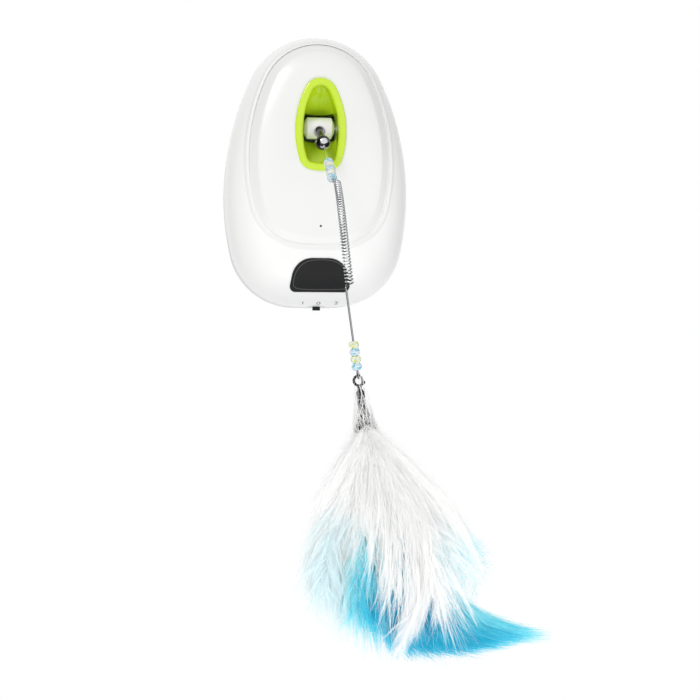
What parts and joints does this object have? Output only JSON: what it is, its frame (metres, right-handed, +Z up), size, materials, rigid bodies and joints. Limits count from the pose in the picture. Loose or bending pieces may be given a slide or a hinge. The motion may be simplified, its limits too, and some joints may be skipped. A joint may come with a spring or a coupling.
{
  "type": "automatic cat wand toy",
  "caption": "Egg-shaped motorised cat toy that hangs on a wall and swings a sprung wire wand with beads and a feather lure.",
  "frame": {"origin": "middle of the housing's flat back face", "axes": "+Z up, -Y out of the front, +X to the right as seen from the front"},
  "size_m": [0.1644, 0.1476, 0.3173],
  "materials": {
    "white_shell": "smooth injection moulded, glossy",
    "grey_shell": "smooth injection moulded, satin",
    "white_panel": "high gloss",
    "dark_window": "infrared-clear, matte",
    "lime_insert": "high gloss",
    "white_barrel": "glossy",
    "bush_plastic": "self-lubricating",
    "gear_plastic": "satin",
    "gearbox_plastic": "satin",
    "steel": "bright drawn",
    "chrome": "polished",
    "spring_steel": "bright wire",
    "cyan_bead": "glossy, translucent",
    "yellow_bead": "glossy, translucent",
    "lime_bead": "glossy, translucent",
    "blue_bead": "glossy, translucent",
    "white_feather": "downy",
    "blue_feather": "downy",
    "motor_steel": "plated",
    "board_green": "solder mask",
    "sensor_lens": "frosted",
    "lamp_red": "clear tinted",
    "clear_pipe": "clear",
    "black_plastic": "satin",
    "tray_plastic": "satin",
    "cell_wrap": "plain printed wrap"
  },
  "bodies": {
    "housing": {"front_shell": "white_shell", "back_shell": "grey_shell", "face_panel": "white_panel", "sensor_window": "dark_window", "trough_insert": "lime_insert", "case_screws": "steel", "axle_bushes": "bush_plastic", "gearbox_plate": "gearbox_plastic", "gearbox_cover": "gearbox_plastic", "gear_axle_1": "steel", "gear_axle_2": "steel", "gear_motor": "motor_steel", "circuit_board": "board_green", "motion_sensor": "sensor_lens", "indicator_lamp": "lamp_red", "light_pipe": "clear_pipe", "switch_body": "black_plastic", "battery_tray": "tray_plastic", "battery_cells": "cell_wrap", "contact_plates": "steel", "contact_springs": "spring_steel"},
    "swing": {"swing_barrel": "white_barrel", "swing_axle": "steel", "output_gear": "gear_plastic", "wand_post": "chrome", "wand_ball": "chrome", "upper_wire": "chrome", "upper_bead_1": "cyan_bead", "upper_bead_2": "yellow_bead", "upper_bead_3": "cyan_bead", "upper_bead_4": "yellow_bead", "upper_bead_5": "cyan_bead", "wound_spring": "spring_steel"},
    "first_gear": {"compound_gear_1": "gear_plastic"},
    "second_gear": {"compound_gear_2": "gear_plastic"},
    "motor_rotor": {"motor_pinion": "gear_plastic", "motor_shaft": "steel"},
    "lower_wand": {"lower_wire": "chrome", "lower_bead_1": "lime_bead", "lower_bead_2": "blue_bead", "lower_bead_3": "lime_bead", "lower_bead_4": "blue_bead"},
    "clasp": {"clasp_hook": "chrome", "gate_pin": "steel"},
    "gate": {"clasp_gate": "chrome"},
    "lure": {"swivel_pin": "steel", "feather_cap": "chrome", "white_plume": "white_feather", "blue_plume": "blue_feather", "long_wisp": "blue_feather"},
    "switch": {"switch_knob": "black_plastic"},
    "door": {"battery_door": "grey_shell", "door_screws": "steel"}
  },
  "joints": [
    {"name": "drum_swing", "type": "hinge", "parent": "housing", "child": "swing", "pos_m": [0, -0.039, 0.0205], "axis": [-1, 0, 0], "range_deg": [-10, 60]},
    {"name": "first_gear_turn", "type": "hinge", "parent": "housing", "child": "first_gear", "pos_m": [0.0155, -0.03097, 0.02342], "axis": [-1, 0, 0], "range_deg": [-145, 25]},
    {"name": "second_gear_turn", "type": "hinge", "parent": "housing", "child": "second_gear", "pos_m": [0.0185, -0.02451, 0.03112], "axis": [-1, 0, 0], "range_deg": [-73, 433]},
    {"name": "motor_turn", "type": "hinge", "parent": "housing", "child": "motor_rotor", "pos_m": [0.0195, -0.01923, 0.04026], "axis": [-1, 0, 0], "range_deg": [-1383, 231]},
    {"name": "spring_flex", "type": "hinge", "parent": "swing", "child": "lower_wand", "pos_m": [0.00236, -0.12302, -0.04149], "axis": [-1, 0, 0], "range_deg": [-40, 40], "stiffness_Nm_per_rad": 0.019, "springref_deg": 5.96, "deforming": ["wound_spring"]},
    {"name": "clasp_swing", "type": "hinge", "parent": "lower_wand", "child": "clasp", "pos_m": [0.00862, -0.13006, -0.11278], "axis": [0.9905, 0, 0.1378], "range_deg": [-25, 25]},
    {"name": "gate_press", "type": "hinge", "parent": "clasp", "child": "gate", "pos_m": [0.01095, -0.13006, -0.11513], "axis": [0, -1, 0], "range_deg": [0, 6], "stiffness_Nm_per_rad": 0.0002, "springref_deg": -5.73},
    {"name": "lure_swivel", "type": "hinge", "parent": "clasp", "child": "lure", "pos_m": [0.01006, -0.13006, -0.12318], "axis": [-0.1378, 0, 0.9905], "continuous": true},
    {"name": "switch_slide", "type": "slide", "parent": "housing", "child": "switch", "axis": [1, 0, 0], "range_m": [-0.0025, 0.0025]},
    {"name": "door_pull", "type": "slide", "parent": "housing", "child": "door", "axis": [0, 1, 0], "range_m": [0, 0.012]}
  ],
  "couplings": [
    {"joint": "first_gear_turn", "follows": "drum_swing", "ratio": -2.4},
    {"joint": "second_gear_turn", "follows": "drum_swing", "ratio": 7.2},
    {"joint": "motor_turn", "follows": "drum_swing", "ratio": -23.04}
  ]
}
